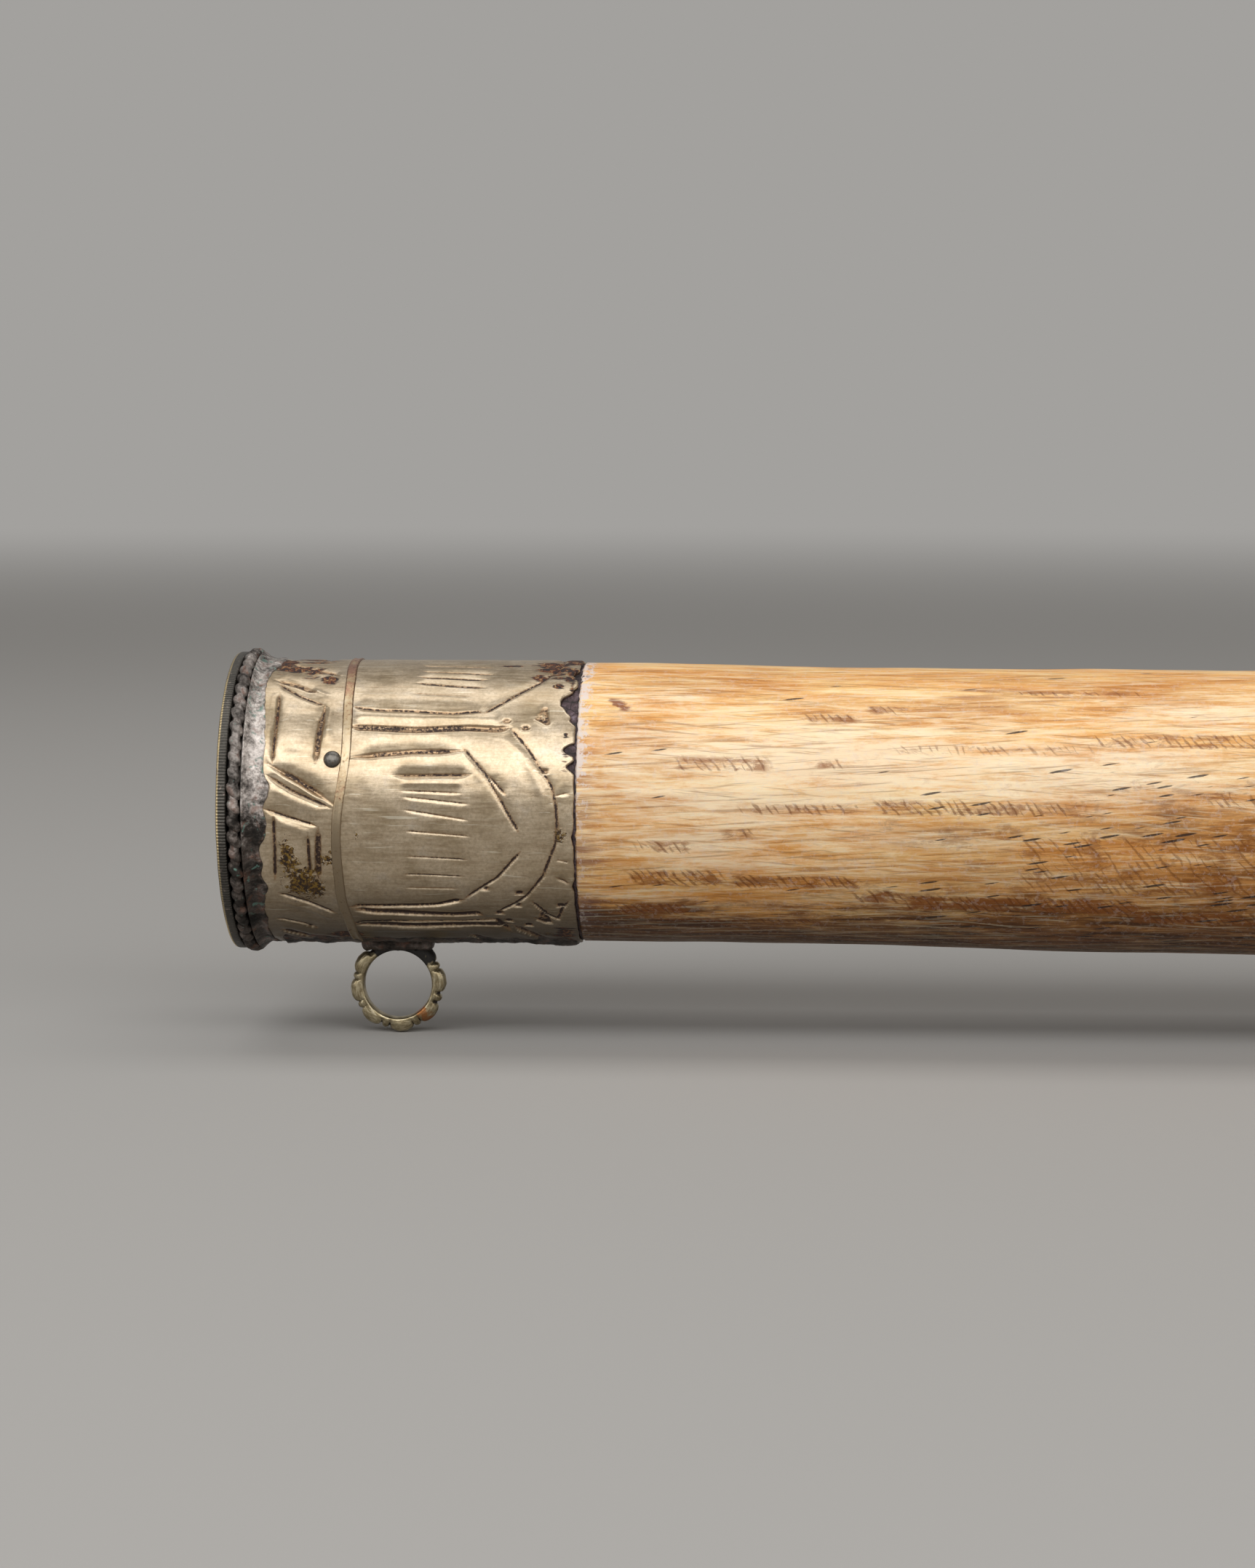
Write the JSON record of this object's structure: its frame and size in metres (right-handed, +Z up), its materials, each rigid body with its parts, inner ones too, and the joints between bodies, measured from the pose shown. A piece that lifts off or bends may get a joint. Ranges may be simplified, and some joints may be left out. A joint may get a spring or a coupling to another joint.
{
  "type": "thighbone trumpet",
  "caption": "Thighbone trumpet with a chased sheet-metal mouth mount, flared beaded rim and soldered hanging ring; the knee end is hollowed to two bell openings.",
  "frame": {"origin": "centre of the mouth hole, on the front face of the mouth plate", "axes": "+X along the bore from the mouth to the knee end, +Z up, -Y the near side that the picture shows"},
  "size_m": [0.316, 0.076, 0.0599],
  "materials": {
    "bone": "satin",
    "pitch": "matte",
    "plate_metal": "satin",
    "blackened_wire": "matte",
    "blackened_solder": "matte",
    "silvered_sheet": "satin",
    "ring_brass": "satin",
    "pin_iron": "gloss"
  },
  "bodies": {
    "root": {"thighbone": "bone", "pitch_lining": "pitch", "mouth_plate": "plate_metal", "rim_wire": "blackened_wire", "flared_collar": "blackened_solder", "mouth_band": "silvered_sheet", "ridge_band": "silvered_sheet", "petal_sleeve": "silvered_sheet", "seam_solder": "blackened_solder", "hanging_ring": "ring_brass", "ring_saddle": "blackened_solder", "pin_near": "pin_iron", "pin_far": "pin_iron"}
  },
  "joints": []
}
